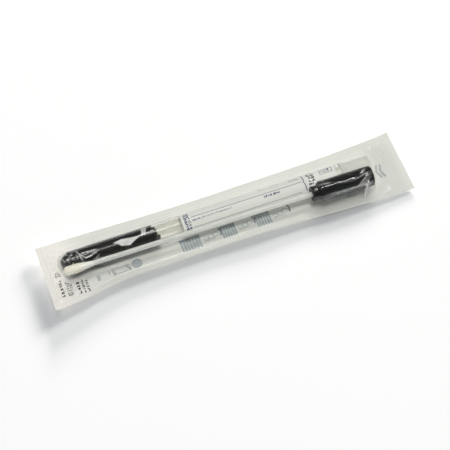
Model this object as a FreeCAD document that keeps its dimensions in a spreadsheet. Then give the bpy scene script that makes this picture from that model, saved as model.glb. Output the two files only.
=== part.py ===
import FreeCAD, Part
import math
import os
import Sketcher

# A transport swab in its sealed peel pouch, in millimetres.
# X runs along the pouch from the swab's bud to its cap, Y runs across it, and Z is up.
# The origin is the middle of the flat underside that the pouch rests on.

DRIVING_SIZES = {
    # peel pouch
    "pouch_wide": 37.5,
    "back_web_thick": 0.2,
    "film_thick": 0.2,
    "film_room": 0.4,
    "film_ahead": 1.8,
    "side_seal": 3.5,
    # tube and its contents
    "tube_radius": 6.0,
    "tube_wall": 1.0,
    "tube_long": 159.6,
    "tube_end_x": -93.6,
    "tube_end_y": 3.7,
    "tube_skew": -1.04,
    "rest_gap": 0.25,
    "gel_long": 54.5,
    "gel_gap": 0.02,
    "meniscus_rise": 1.0,
    # label
    "label_from": 68.3,
    "label_long": 88.0,
    "label_thick": 0.1,
    "label_gap": 0.02,
    "label_wrap": 335.0,
    # stopper
    "stopper_head": 16.2,
    "stopper_head_radius": 6.2,
    "stopper_plug": 8.0,
    "stopper_plug_radius": 4.85,
    "stopper_bead_radius": 4.98,
    "stopper_wall": 1.1,
    # swab
    "swab_lean": 39.5,
    "swab_cap_contact_x": 50.0,
    "swab_bud_contact_x": -84.0,
    "swab_tip_x": -92.0,
    "touch_gap": 0.2,
    "bud_long": 14.4,
    "bud_radius": 2.35,
    "bud_tail_radius": 1.6,
    "shaft_radius": 1.35,
    "shaft_from": 4.0,
    "shaft_gap": 0.01,
    "cap_from": 136.7,
    "cap_plug": 5.1,
    "cap_plug_radius": 3.85,
    "cap_lip_radius": 4.15,
    "cap_seat_radius": 4.95,
    "cap_seat": 1.4,
    "cap_body": 29.3,
    "cap_radius": 5.5,
    "cap_flange_radius": 5.6,
    "cap_flange_thick": 1.3,
    "cap_wall": 0.9,
    "cap_corner": 1.0,
    "cap_recess": 31.9,
    "cap_socket": 19.4,
    "cap_boss_radius": 2.3,
    "grip_radius": 0.45,
    "grip_depth": 0.22,
    "grip_from": 6.0,
    "grip_long": 20.0,
}
GRIP_COUNT = 20

# The pouch at places along X: (x, how far the front edge and the back edge are drawn in,
# the height of the seam, the height of the back web in the middle). The ends curl up a
# little, and where the last two heights agree the webs are sealed together.
STATIONS = [
    (-102.0, 0.0, 0.0, 4.0, 4.0),
    (-99.0, 0.2, 0.0, 3.9, 3.9),
    (-94.0, 0.8, 0.0, 3.6, 2.2),
    (-91.5, 1.1, 0.0, 3.4, 1.1),
    (-89.0, 1.4, 0.0, 3.2, 0.4),
    (-84.0, 2.0, 0.0, 3.0, 0.2),
    (-70.0, 4.1, 0.1, 2.6, 0.2),
    (-60.0, 5.0, 0.4, 2.4, 0.2),
    (-42.0, 5.2, 1.1, 2.2, 0.2),
    (0.0, 5.0, 2.4, 2.2, 0.2),
    (25.0, 3.8, 2.4, 2.2, 0.2),
    (38.0, 3.0, 2.3, 2.1, 0.2),
    (43.0, 2.7, 2.1, 2.0, 0.2),
    (50.0, 2.2, 2.0, 1.9, 0.2),
    (66.0, 1.8, 1.4, 1.6, 0.2),
    (80.5, 1.2, 0.8, 1.3, 0.2),
    (83.5, 1.0, 0.8, 1.3, 0.2),
    (93.0, 0.6, 0.6, 1.1, 1.1),
    (102.0, 0.0, 0.0, 1.0, 1.0),
]
FLOOR_FRONT = -3.9
FLOOR_BACK = 6.1
# Directions, in degrees from +Y, in which the film leans on what is under it.
FILM_NORMALS = [178, 156, 134, 112, 90, 68, 45, 20]


class Size:
    """A length: its value in millimetres, and the expression that binds it to the sheet."""

    def __init__(self, value, text):
        self.value = value
        self.text = text

    def __add__(self, other):
        return Size(self.value + other.value, f"{self.text} + {other.text}")

    def __sub__(self, other):
        return Size(self.value - other.value, f"{self.text} - ({other.text})")

    def __mul__(self, factor):
        return Size(self.value * factor, f"({self.text}) * {factor}")


doc = FreeCAD.newDocument("specimen_swab_tube")
sheet = doc.addObject("Spreadsheet::Sheet", "sizes")
for row, (alias, number) in enumerate(DRIVING_SIZES.items(), start=1):
    sheet.set(f"A{row}", alias.replace("_", " "))
    sheet.set(f"B{row}", str(number))
    sheet.setAlias(f"B{row}", alias)
doc.recompute()


def size(alias):
    return Size(float(sheet.get(alias)), f"sizes.{alias}")


def value(alias):
    return float(sheet.get(alias))


ZERO = Size(0.0, "0")


# ---- sketches and turned bodies -------------------------------------------------


def origin_part(body, role):
    return next(f for f in body.Origin.OriginFeatures if f.Role == role)


def new_body(label):
    body = doc.addObject("PartDesign::Body", label)
    body.Label = label
    return body


def new_sketch(body, name, plane):
    sketch = body.newObject("Sketcher::SketchObject", name)
    sketch.AttachmentSupport = [(origin_part(body, plane), "")]
    sketch.MapMode = "FlatFace"
    return sketch


def arc_between(start, end, radius, side):
    """The short arc from start to end, which bulges to the left if side is 1."""
    chord = end - start
    left = FreeCAD.Vector(-chord.y, chord.x, 0).normalize()
    half = chord.Length / 2
    centre = start + chord * 0.5 - left * (side * math.sqrt(radius * radius - half * half))
    circle = Part.Circle(centre, FreeCAD.Vector(0, 0, 1), radius)
    first, last = (end, start) if side > 0 else (start, end)
    angles = [math.atan2(p.y - centre.y, p.x - centre.x) for p in (first, last)]
    return Part.ArcOfCircle(circle, *angles)


def bind(sketch, constraint, length):
    index = sketch.addConstraint(constraint)
    sketch.setExpression(f"Constraints[{index}]", length.text)


def place_corner(sketch, edge, end, x, y):
    """Holds one end of an edge at (x, y)."""
    if x is ZERO and y is ZERO:
        sketch.addConstraint(Sketcher.Constraint("Coincident", edge, end, -1, 1))
        return
    if x is ZERO:
        sketch.addConstraint(Sketcher.Constraint("PointOnObject", edge, end, -2))
    else:
        bind(sketch, Sketcher.Constraint("DistanceX", edge, end, x.value), x)
    if y is ZERO:
        sketch.addConstraint(Sketcher.Constraint("PointOnObject", edge, end, -1))
    else:
        bind(sketch, Sketcher.Constraint("DistanceY", edge, end, y.value), y)


def draw_outline(sketch, corners):
    """Draws a closed outline. A corner is (x, y), or (x, y, radius, side) where the edge
    from it to the next corner is an arc that bulges to that side."""
    points = [FreeCAD.Vector(c[0].value, c[1].value, 0) for c in corners]
    ends = []
    for i, corner in enumerate(corners):
        start, end = points[i], points[(i + 1) % len(points)]
        if len(corner) == 2:
            edge = sketch.addGeometry(Part.LineSegment(start, end))
        else:
            arc = arc_between(start, end, corner[2].value, corner[3])
            edge = sketch.addGeometry(arc)
        drawn = sketch.Geometry[edge]
        flipped = (drawn.StartPoint - start).Length > (drawn.StartPoint - end).Length
        ends.append((edge, 2, 1) if flipped else (edge, 1, 2))
    for i, (edge, first, last) in enumerate(ends):
        following, follow_first, _ = ends[(i + 1) % len(ends)]
        joint = Sketcher.Constraint("Coincident", edge, last, following, follow_first)
        sketch.addConstraint(joint)
    for corner, (edge, first, _) in zip(corners, ends):
        place_corner(sketch, edge, first, corner[0], corner[1])
        if len(corner) > 2:
            bind(sketch, Sketcher.Constraint("Radius", edge, corner[2].value), corner[2])


def turned_body(label, corners):
    """A body turned about its own X axis from half of its lengthwise section."""
    body = new_body(label)
    sketch = new_sketch(body, f"{label}_section", "XY_Plane")
    draw_outline(sketch, corners)
    turn = body.newObject("PartDesign::Revolution", f"{label}_turn")
    turn.Profile = sketch
    turn.ReferenceAxis = (sketch, ["H_Axis"])
    turn.Angle = 360
    sketch.Visibility = False
    return body


# ---- where the tube and the swab lie --------------------------------------------

tube_height = value("back_web_thick") + value("rest_gap") + value("tube_radius")
tube_start = FreeCAD.Vector(value("tube_end_x"), value("tube_end_y"), tube_height)
tube_skew = math.radians(value("tube_skew"))
tube_line = FreeCAD.Vector(math.cos(tube_skew), math.sin(tube_skew), 0)


def point_at(start, line, x):
    """The point at x on the line through start."""
    return start + line * ((x - start.x) / line.x)


def beside_tube(x, reach):
    """A point that far from the tube's axis, up its front flank."""
    lean = math.radians(value("swab_lean"))
    aside = FreeCAD.Vector(0, -math.cos(lean), math.sin(lean))
    return point_at(tube_start, tube_line, x) + aside * reach


cap_reach = value("tube_radius") + value("cap_flange_radius") + value("touch_gap")
bud_reach = value("tube_radius") + value("bud_radius") + value("touch_gap")
at_cap = beside_tube(value("swab_cap_contact_x"), cap_reach)
at_bud = beside_tube(value("swab_bud_contact_x"), bud_reach)
swab_line = (at_cap - at_bud).normalize()
swab_start = point_at(at_bud, swab_line, value("swab_tip_x"))


def lay(piece, start, line, along=0.0):
    """Puts a piece's own X axis on a line, that far from the line's start."""
    turn = FreeCAD.Rotation(FreeCAD.Vector(1, 0, 0), line)
    piece.Placement = FreeCAD.Placement(start + line * along, turn)


# ---- tube, gel, label and stopper -----------------------------------------------


def make_tube():
    radius = size("tube_radius")
    bore = radius - size("tube_wall")
    mouth = size("tube_long")
    tube = turned_body(
        "specimen_tube",
        [
            (ZERO, ZERO, radius, 1),
            (radius, radius),
            (mouth, radius),
            (mouth, bore),
            (radius, bore, bore, -1),
            (size("tube_wall"), ZERO),
        ],
    )
    lay(tube, tube_start, tube_line)
    return tube


def make_gel():
    radius = size("tube_radius") - size("tube_wall") - size("gel_gap")
    floor = size("tube_wall") + size("gel_gap")
    end = floor + size("gel_long")
    rise = value("meniscus_rise")
    # the gel's free face is a shallow dome of this radius
    dome = Size(
        (radius.value**2 + rise**2) / (2 * rise),
        f"(({radius.text})^2 + sizes.meniscus_rise^2) / (2 * sizes.meniscus_rise)",
    )
    gel = turned_body(
        "transport_medium",
        [
            (floor, ZERO, radius, 1),
            (size("tube_radius"), radius),
            (end - size("meniscus_rise"), radius, dome, 1),
            (end, ZERO),
        ],
    )
    lay(gel, tube_start, tube_line)
    return gel


def make_label():
    """A strip wrapped round the tube, with its open seam at the back, low down."""
    inner = doc.addObject("Part::Cylinder", "label_inner")
    outer = doc.addObject("Part::Cylinder", "label_outer")
    inner.setExpression("Radius", "sizes.tube_radius + sizes.label_gap")
    outer.setExpression("Radius", "sizes.tube_radius + sizes.label_gap + sizes.label_thick")
    for cylinder in (inner, outer):
        cylinder.setExpression("Height", "sizes.label_long")
    outer.setExpression("Angle", "sizes.label_wrap")
    label = doc.addObject("Part::Cut", "tube_label")
    label.Label = "tube_label"
    label.Base = outer
    label.Tool = inner
    upright = FreeCAD.Rotation(FreeCAD.Vector(0, 0, 1), FreeCAD.Vector(1, 0, 0))
    seam_low = FreeCAD.Rotation(FreeCAD.Vector(1, 0, 0), -35)
    along = FreeCAD.Rotation(FreeCAD.Vector(1, 0, 0), tube_line)
    base = tube_start + tube_line * value("label_from")
    label.Placement = FreeCAD.Placement(base, along * seam_low * upright)
    return label


def make_stopper():
    """A hollow plug: its head closes the mouth, and its skirt with a bead goes inside."""
    plug = size("stopper_plug")
    skirt = size("stopper_plug_radius")
    bead = size("stopper_bead_radius")
    head = size("stopper_head_radius")
    hollow = skirt - size("stopper_wall")
    end = plug + size("stopper_head")
    edge = size("stopper_wall") * 0.5
    stopper = turned_body(
        "tube_stopper",
        [
            (ZERO, hollow),
            (ZERO, skirt - edge),
            (edge, skirt),
            (plug * 0.3, skirt),
            (plug * 0.4, bead),
            (plug * 0.55, bead),
            (plug * 0.65, skirt),
            (plug, skirt),
            (plug, head),
            (plug + edge * 4, head),
            (plug + edge * 5, head - edge),
            (end - edge, head - edge, edge, 1),
            (end, head - edge * 2),
            (end, ZERO),
            (end - size("stopper_wall"), ZERO),
            (end - size("stopper_wall"), hollow),
        ],
    )
    lay(stopper, tube_start, tube_line, value("tube_long") - value("stopper_plug"))
    return stopper


# ---- swab: bud, stick and cap ---------------------------------------------------


def make_bud():
    """A spun bud: a round nose, a plump middle, and a tail that narrows onto the stick."""
    hole = size("shaft_radius") + size("shaft_gap")
    radius = size("bud_radius")
    bud = turned_body(
        "swab_bud",
        [
            (ZERO, ZERO, radius, 1),
            (radius, radius),
            (size("bud_long") * 0.62, radius),
            (size("bud_long"), size("bud_tail_radius")),
            (size("bud_long"), hole),
            (size("shaft_from") - size("shaft_gap"), hole),
            (size("shaft_from") - size("shaft_gap"), ZERO),
        ],
    )
    lay(bud, swab_start, swab_line)
    return bud


def make_shaft():
    body = new_body("swab_shaft")
    sketch = new_sketch(body, "swab_shaft_section", "YZ_Plane")
    ring = Part.Circle(FreeCAD.Vector(0, 0, 0), FreeCAD.Vector(0, 0, 1), value("shaft_radius"))
    edge = sketch.addGeometry(ring)
    sketch.addConstraint(Sketcher.Constraint("Coincident", edge, 3, -1, 1))
    bind(sketch, Sketcher.Constraint("Radius", edge, ring.Radius), size("shaft_radius"))
    pad = body.newObject("PartDesign::Pad", "swab_shaft_pad")
    pad.Profile = sketch
    pad.setExpression(
        "Length",
        "sizes.cap_from + sizes.cap_socket - sizes.shaft_gap - sizes.shaft_from",
    )
    sketch.Visibility = False
    lay(body, swab_start, swab_line, value("shaft_from"))
    return body


def make_cap():
    """A cap-plug with a hollow front, a boss that holds the stick, and fluted sides."""
    hole = size("shaft_radius") + size("shaft_gap")
    plug = size("cap_plug")
    neck = size("cap_plug_radius")
    lip = size("cap_lip_radius")
    seat = size("cap_seat_radius")
    seat_from = plug - size("cap_seat")
    boss = size("cap_boss_radius")
    wide = size("cap_radius")
    flange = size("cap_flange_radius")
    corner = size("cap_corner")
    hollow = neck - size("cap_wall")
    end = plug + size("cap_body")
    step = size("cap_wall") * 0.5
    cap = turned_body(
        "swab_cap",
        [
            (step, hollow),
            (ZERO, hollow + step),
            (ZERO, neck),
            (step, lip),
            (step * 3, lip),
            (step * 4, neck),
            (seat_from, neck),
            (seat_from + step, seat),
            (plug, seat),
            (plug, flange),
            (plug + size("cap_flange_thick"), flange),
            (plug + size("cap_flange_thick") + step, wide),
            (end - corner, wide, corner, 1),
            (end, wide - corner),
            (end, ZERO),
            (size("cap_socket"), ZERO),
            (size("cap_socket"), hole),
            (step * 3, hole),
            (step * 3, boss),
            (size("cap_recess"), boss),
            (size("cap_recess"), hollow),
        ],
    )
    doc.recompute()
    plain_volume = cap.Shape.Volume
    flute = new_sketch(cap, "grip_flute", "YZ_Plane")
    flute.setExpression("AttachmentOffset.Base.z", "sizes.cap_plug + sizes.grip_from")
    centre = FreeCAD.Vector(0, value("cap_radius"), 0)
    ring = Part.Circle(centre, FreeCAD.Vector(0, 0, 1), value("grip_radius"))
    edge = flute.addGeometry(ring)
    flute.addConstraint(Sketcher.Constraint("PointOnObject", edge, 3, -2))
    bind(flute, Sketcher.Constraint("Radius", edge, ring.Radius), size("grip_radius"))
    height = size("cap_radius") + size("grip_radius") - size("grip_depth")
    bind(flute, Sketcher.Constraint("DistanceY", edge, 3, height.value), height)
    pocket = cap.newObject("PartDesign::Pocket", "grip_pocket")
    pocket.Profile = flute
    pocket.setExpression("Length", "sizes.grip_long")
    pocket.Reversed = True
    flute.Visibility = False
    doc.recompute()
    around = cap.newObject("PartDesign::PolarPattern", "grip_pattern")
    around.Originals = [pocket]
    around.Axis = (origin_part(cap, "X_Axis"), [""])
    around.Angle = 360
    around.Occurrences = GRIP_COUNT
    cap.Tip = around
    doc.recompute()
    if not cap.Shape.Volume < plain_volume:
        raise ValueError("the grip flutes cut nothing")
    lay(cap, swab_start, swab_line, value("cap_from"))
    return cap


# ---- the two webs of the pouch --------------------------------------------------


def half_height(radius, along):
    """The half-height of a round end that far from its pole, and of the straight behind it."""
    back = max(radius - along, 0.0)
    return math.sqrt(radius * radius - back * back)


def circles_at(x):
    """Sections that the film leans on at x, as (y, z, radius). They start a little before
    each piece and end a little after it, because the film stands off their ends."""
    ahead = value("film_ahead")
    tube = point_at(tube_start, tube_line, x)
    swab = point_at(swab_start, swab_line, x)
    mouth = tube_start.x + value("tube_long")
    cap_start = swab_start.x + value("cap_from")
    cap_end = cap_start + value("cap_plug") + value("cap_body")
    from_tube_end = x - tube_start.x + ahead
    from_bud_end = x - swab_start.x + ahead
    found = []
    if 0 < from_tube_end and x < mouth + value("stopper_head") + ahead:
        wide = value("tube_radius") if x < mouth - ahead else value("stopper_head_radius")
        found.append((tube.y, tube.z, half_height(wide, from_tube_end)))
    if 0 < from_bud_end and x < swab_start.x + value("bud_long") + ahead:
        found.append((swab.y, swab.z, half_height(value("bud_radius"), from_bud_end)))
    elif 0 < from_bud_end and x < cap_start - ahead:
        found.append((swab.y, swab.z, value("shaft_radius")))
    elif cap_start - ahead <= x < cap_end + ahead:
        found.append((swab.y, swab.z, value("cap_flange_radius")))
    return found


def leaning_point(circles, degrees, room):
    """The furthest point of the circles in a direction, that much room further out."""
    out = (math.cos(math.radians(degrees)), math.sin(math.radians(degrees)))
    y, z, radius = max(circles, key=lambda c: c[0] * out[0] + c[1] * out[1] + c[2])
    return (y + out[0] * (radius + room), z + out[1] * (radius + room))


def edges_at(station):
    """The front and back edges of the pouch, and the inner lines of its side seals."""
    half = value("pouch_wide") / 2
    front, back = station[1] - half, half - station[2]
    return front, front + value("side_seal"), back - value("side_seal"), back


def back_web_line(station):
    """The top face of the back web across the pouch."""
    front, front_seal, back_seal, back = edges_at(station)
    seam, low = station[3], station[4]
    return [
        (front, seam),
        (front_seal, seam),
        (FLOOR_FRONT, low),
        (FLOOR_BACK, low),
        (back_seal, seam),
        (back, seam),
    ]


def film_line(station, lift):
    """A line across the pouch on the film, that much above the film's inner face."""
    front, front_seal, back_seal, back = edges_at(station)
    seam, low = station[3], station[4]
    circles = circles_at(station[0])
    steps = len(FILM_NORMALS)
    if seam == low or not circles:
        span = back_seal - front_seal
        crown = [(front_seal + span * (i + 1) / (steps + 1), seam + lift) for i in range(steps)]
    else:
        room = value("film_room") + lift
        crown = [leaning_point(circles, degrees, room) for degrees in FILM_NORMALS]
    return [
        (front, seam + lift),
        (front_seal - lift, seam + lift),
        *crown,
        (back_seal + lift, seam + lift),
        (back, seam + lift),
    ]


def section_wire(name, x, top, bottom):
    """A closed section across X between a top line and a bottom line."""
    loop = [FreeCAD.Vector(x, y, z) for y, z in top + bottom[::-1]]
    section = doc.addObject("Part::Feature", name)
    section.Shape = Part.makePolygon(loop + loop[:1])
    return section


def web_between(label, lines):
    """A web lofted straight from station to station; lines gives (x, top, bottom)."""
    sections = [
        section_wire(f"{label}_section_{i}", x, top, bottom)
        for i, (x, top, bottom) in enumerate(lines)
    ]
    web = doc.addObject("Part::Loft", label)
    web.Label = label
    web.Sections = sections
    web.Solid = True
    web.Ruled = True
    return web


def make_back_web():
    thick = value("back_web_thick")
    lines = []
    for station in STATIONS:
        top = back_web_line(station)
        lines.append((station[0], top, [(y, z - thick) for y, z in top]))
    return web_between("pouch_back", lines)


def make_film():
    thick = value("film_thick")
    lines = []
    for station in STATIONS:
        lines.append((station[0], film_line(station, thick), film_line(station, 0.0)))
    return web_between("pouch_film", lines)


# ---- make, check and write ------------------------------------------------------

pieces = [
    make_tube(),
    make_gel(),
    make_label(),
    make_stopper(),
    make_bud(),
    make_shaft(),
    make_cap(),
    make_back_web(),
    make_film(),
]
doc.recompute()

for item in doc.Objects:
    if "Invalid" in item.State or "Error" in item.State:
        raise ValueError(f"{item.Label} failed to recompute: {item.State}")
for piece in pieces:
    if piece.Shape.isNull() or not piece.Shape.isValid() or not piece.Shape.Solids:
        raise ValueError(f"{piece.Label} has no valid solid")

os.makedirs("parts", exist_ok=True)
for piece in pieces:
    piece.Shape.exportStep(f"parts/{piece.Label}.step")
    print(f"{piece.Label}: {piece.Shape.Volume / 1000:.3f} cm3")
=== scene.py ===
import math

import bpy
import numpy as np
from mathutils import Matrix, Vector


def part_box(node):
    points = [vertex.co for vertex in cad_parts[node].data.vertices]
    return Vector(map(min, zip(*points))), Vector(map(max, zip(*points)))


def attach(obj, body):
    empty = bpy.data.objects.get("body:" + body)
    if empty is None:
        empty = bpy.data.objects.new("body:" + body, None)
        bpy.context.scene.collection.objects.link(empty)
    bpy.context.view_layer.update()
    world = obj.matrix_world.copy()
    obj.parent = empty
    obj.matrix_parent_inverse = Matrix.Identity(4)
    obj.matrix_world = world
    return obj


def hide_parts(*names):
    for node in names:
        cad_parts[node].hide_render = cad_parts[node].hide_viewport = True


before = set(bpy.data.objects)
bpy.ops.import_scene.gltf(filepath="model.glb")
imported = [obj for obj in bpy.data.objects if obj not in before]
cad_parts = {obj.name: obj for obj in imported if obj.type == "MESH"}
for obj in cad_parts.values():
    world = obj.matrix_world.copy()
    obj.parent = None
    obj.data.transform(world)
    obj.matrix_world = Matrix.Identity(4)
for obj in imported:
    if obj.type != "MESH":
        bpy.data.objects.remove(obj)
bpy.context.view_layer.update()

# A transport swab in its sealed peel pouch. Shapes are worked out in millimetres and turned
# into metres when a mesh is made. X runs along the pouch, Y across it and Z up.

MM = 0.001
rng = np.random.default_rng(20)
put_in_scene = bpy.context.scene.collection.objects.link

# ---- sizes, in millimetres ----

POUCH_HALF_LONG = 102.0
POUCH_WIDE = 37.5
SIDE_SEAL = 3.5
LEFT_SEAL_X = -98.6
RIGHT_SEAL_X = 90.5
FILM_LIFT = 0.12
FILM_CLEARANCE = 0.16
WEB_CLEARANCE = 0.3
WEB_FLOOR = 0.06

# Edges of the pouch as (x, y), and the height of its seams as (x, z).
FRONT_EDGE = [
    (-102, -18.3), (-98, -18.5), (-93, -17.8), (-85, -16.9), (-77, -16.0), (-70, -14.6),
    (-59, -13.6), (-43, -13.5), (0, -14.1), (20, -14.8), (42, -15.9), (53, -17.0),
    (75, -18.1), (89, -18.9), (102, -18.7),
]
BACK_EDGE = [
    (-102, 19.0), (-92, 19.1), (-84, 19.0), (-68, 18.5), (-58, 18.1), (-42, 17.5),
    (-20, 16.9), (0, 16.4), (46, 16.4), (57, 16.4), (68, 16.7), (80, 17.3), (94, 17.9),
    (102, 18.6),
]
SEAM_HEIGHT = [
    (-102, 4.0), (-94, 3.6), (-84, 3.0), (-60, 2.4), (-42, 2.2), (25, 2.2), (43, 2.0),
    (66, 1.6), (83, 1.3), (102, 1.0),
]


# ---- where the pieces lie ----


def vertices_of(node):
    return np.array([v.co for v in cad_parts[node].data.vertices]) / MM


def box_of(node):
    low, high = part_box(node)
    return np.array(low) / MM, np.array(high) / MM


def end_centres(node):
    """The centres of a turned node's two ends."""
    points = vertices_of(node)
    centres = []
    for end in (points[:, 0].min(), points[:, 0].max()):
        near = points[np.abs(points[:, 0] - end) < 0.6]
        centres.append((near.min(0) + near.max(0)) / 2)
    return centres


class Turned:
    """A turned shape that the film leans on: its axis, and its radius along that axis."""

    def __init__(self, start, end, profile):
        self.start = np.array(start)
        self.line = (np.array(end) - self.start) / np.linalg.norm(np.array(end) - start)
        self.along = np.array([s for s, _ in profile])
        self.radius = np.array([r for _, r in profile])

    def centre_at(self, x):
        return self.start + self.line * ((x - self.start[0]) / self.line[0])

    def radius_at(self, s):
        return np.interp(s, self.along, self.radius, left=-9, right=-9)

    def push_out(self, points, clearance):
        """Moves the points that are inside the shape straight out to its surface."""
        s = (points - self.start) @ self.line
        axis = self.start + s[..., None] * self.line
        out = points - axis
        distance = np.linalg.norm(out, axis=-1)
        wanted = self.radius_at(s) + clearance
        inside = distance < wanted
        scale = wanted[inside] / np.maximum(distance[inside], 1e-6)
        points[inside] = axis[inside] + out[inside] * scale[:, None]


def round_end(radius, steps=8):
    """A profile's round end, from the pole to the full radius."""
    angles = np.linspace(0, math.pi / 2, steps)
    return [(radius * (1 - math.cos(a)), radius * math.sin(a)) for a in angles]


tube_low, tube_high = box_of("specimen_tube")
TUBE_RADIUS = (tube_high[2] - tube_low[2]) / 2
tube_ends = end_centres("specimen_tube")
stopper_low, stopper_high = box_of("tube_stopper")
STOPPER_RADIUS = (stopper_high[2] - stopper_low[2]) / 2
stick_ends = end_centres("swab_shaft")
swab_line = (stick_ends[1] - stick_ends[0]) / np.linalg.norm(stick_ends[1] - stick_ends[0])
STICK_RADIUS = 1.35
bud_low, bud_high = box_of("swab_bud")
bud_tip = stick_ends[0] + swab_line * ((bud_low[0] - stick_ends[0][0]) / swab_line[0])
BUD_LONG = 14.4
BUD_RADIUS = 2.35
CAP_FROM = 136.7
CAP_LONG = 34.4
CAP_PLUG = 5.1
CAP_LIP_RADIUS = 4.15
CAP_FLANGE_RADIUS = 5.6
CAP_FLANGE_THICK = 1.3
CAP_RADIUS = 5.5
LABEL_THICK = 0.12

label_low, label_high = box_of("tube_label")
tube_long = tube_high[0] - tube_low[0]
stopper_end = stopper_high[0] - tube_low[0]

TUBE = Turned(
    tube_ends[0],
    tube_ends[1],
    round_end(TUBE_RADIUS)
    + [
        (label_low[0] - tube_low[0], TUBE_RADIUS),
        (label_low[0] - tube_low[0] + 0.3, TUBE_RADIUS + LABEL_THICK),
        (tube_long - 0.4, TUBE_RADIUS + LABEL_THICK),
        (tube_long, STOPPER_RADIUS),
        (stopper_end - 0.9, STOPPER_RADIUS),
        (stopper_end - 0.2, STOPPER_RADIUS - 0.8),
    ],
)
SWAB = Turned(
    bud_tip,
    bud_tip + swab_line,
    round_end(BUD_RADIUS)
    + [
        (BUD_LONG * 0.62, BUD_RADIUS),
        (BUD_LONG, 1.6),
        (BUD_LONG + 0.6, STICK_RADIUS),
        (CAP_FROM - 0.1, STICK_RADIUS),
        (CAP_FROM, 3.7),
        (CAP_FROM + 0.4, CAP_LIP_RADIUS),
        (CAP_FROM + CAP_PLUG, CAP_FLANGE_RADIUS),
        (CAP_FROM + CAP_PLUG + CAP_FLANGE_THICK, CAP_FLANGE_RADIUS),
        (CAP_FROM + CAP_PLUG + 1.75, CAP_RADIUS),
        (CAP_FROM + CAP_LONG - 0.6, CAP_RADIUS),
        (CAP_FROM + CAP_LONG - 0.1, 5.1),
    ],
)


# ---- meshes ----


def new_piece(name, vertices, faces, slot, ink=None):
    """A smooth mesh object from points in millimetres, which rides on the one body."""
    mesh = bpy.data.meshes.new(name)
    mesh.from_pydata((np.asarray(vertices) * MM).tolist(), [], faces)
    mesh.materials.append(INKS[ink] if ink else MATERIALS[slot])
    mesh.shade_smooth()
    mesh.update()
    piece = bpy.data.objects.new(name, mesh)
    put_in_scene(piece)
    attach(piece, "root")
    return piece


def grid_faces(rows, columns, closed=False):
    """The quads of a grid whose points are listed row by row."""
    faces = []
    last = columns if closed else columns - 1
    for i in range(rows - 1):
        for j in range(last):
            k = (j + 1) % columns
            a, b = i * columns + j, i * columns + k
            faces.append((a, b, b + columns, a + columns))
    return faces


def shifted(faces, base):
    """The same faces, for points that are listed from base on."""
    return [tuple(base + i for i in face) for face in faces]


# ---- the pouch's two webs ----


def smooth_line(points, x, reach=5.0):
    """A line through the points, rounded off over that reach on each side."""
    xs, ys = zip(*points)
    offsets = np.linspace(-reach, reach, 11)
    return np.mean([np.interp(x + d, xs, ys) for d in offsets], axis=0)


def near(x, centre, reach):
    """1 at the centre, falling off softly over that reach."""
    return np.exp(-((x - centre) / reach) ** 2)


def unit(vectors):
    return vectors / np.maximum(np.linalg.norm(vectors, axis=-1, keepdims=True), 1e-9)


def grid_normals(points):
    along = np.gradient(points, axis=0)
    across = np.gradient(points, axis=1)
    return unit(np.cross(along, across))


STEP = 0.6
COLUMNS_X = np.linspace(-POUCH_HALF_LONG, POUCH_HALF_LONG, int(204 / STEP) + 1)
SEAL_ROWS = int(SIDE_SEAL / STEP) + 1
INNER_ROWS = int((POUCH_WIDE - 2 * SIDE_SEAL) / STEP) + 1

front_edge = smooth_line(FRONT_EDGE, COLUMNS_X)
back_edge = smooth_line(BACK_EDGE, COLUMNS_X)
seam_height = smooth_line(SEAM_HEIGHT, COLUMNS_X, 12)
seam_height = seam_height + 0.15 * np.sin(COLUMNS_X * 0.11 + 0.6) * near(COLUMNS_X, 20, 70)


def hull_section(x, seam_front, seam_back, rows, shapes, clearance, side):
    """A line stretched from one seam to the other over what lies at x, or under it where
    side is -1."""
    angles = np.linspace(math.radians(178), math.radians(2), 90)
    points = [seam_front, seam_back]
    for shape in shapes:
        centre = shape.centre_at(x)
        radius = float(shape.radius_at((centre - shape.start) @ shape.line)) + clearance
        if radius > 0:
            points += [
                (centre[1] + radius * math.cos(a), centre[2] + side * radius * math.sin(a))
                for a in angles
            ]
    points = sorted(p for p in points if seam_front[0] <= p[0] <= seam_back[0])
    hull = []
    for p in points:
        while len(hull) > 1 and side * (
            (hull[-1][0] - hull[-2][0]) * (p[1] - hull[-2][1])
            - (hull[-1][1] - hull[-2][1]) * (p[0] - hull[-2][0])
        ) >= 0:
            hull.pop()
        hull.append(p)
    hull = np.array(hull)
    length = np.concatenate([[0], np.cumsum(np.linalg.norm(np.diff(hull, axis=0), axis=1))])
    at = np.linspace(0, length[-1], rows)
    y = np.interp(at, length, hull[:, 0])
    z = np.interp(at, length, hull[:, 1])
    return np.stack([np.full(rows, x), y, z], 1)


def assemble(inner, lift):
    """The whole web: the two side seals, flat, and what is between them."""
    height = seam_height + lift
    front, back = [], []
    for k in range(SEAL_ROWS):
        share = k / SEAL_ROWS
        front_y = front_edge + SIDE_SEAL * share
        back_y = back_edge - SIDE_SEAL * (1 - share - 1 / SEAL_ROWS)
        front.append(np.stack([COLUMNS_X, front_y, height], 1))
        back.append(np.stack([COLUMNS_X, back_y, height], 1))
    return np.concatenate([np.stack(front, 1), inner, np.stack(back, 1)], axis=1)


def sealed_mask():
    """True where the two webs are sealed together."""
    mask = np.zeros((len(COLUMNS_X), SEAL_ROWS * 2 + INNER_ROWS), bool)
    mask[:, :SEAL_ROWS + 1] = True
    mask[:, -SEAL_ROWS - 1:] = True
    mask[COLUMNS_X < LEFT_SEAL_X] = True
    mask[COLUMNS_X > RIGHT_SEAL_X] = True
    return mask


def push_free(points, free, shapes, clearance):
    """Moves the free points out to that clearance from the shapes."""
    for shape in shapes:
        moved = points[free]
        shape.push_out(moved, clearance)
        points[free] = moved


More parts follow.
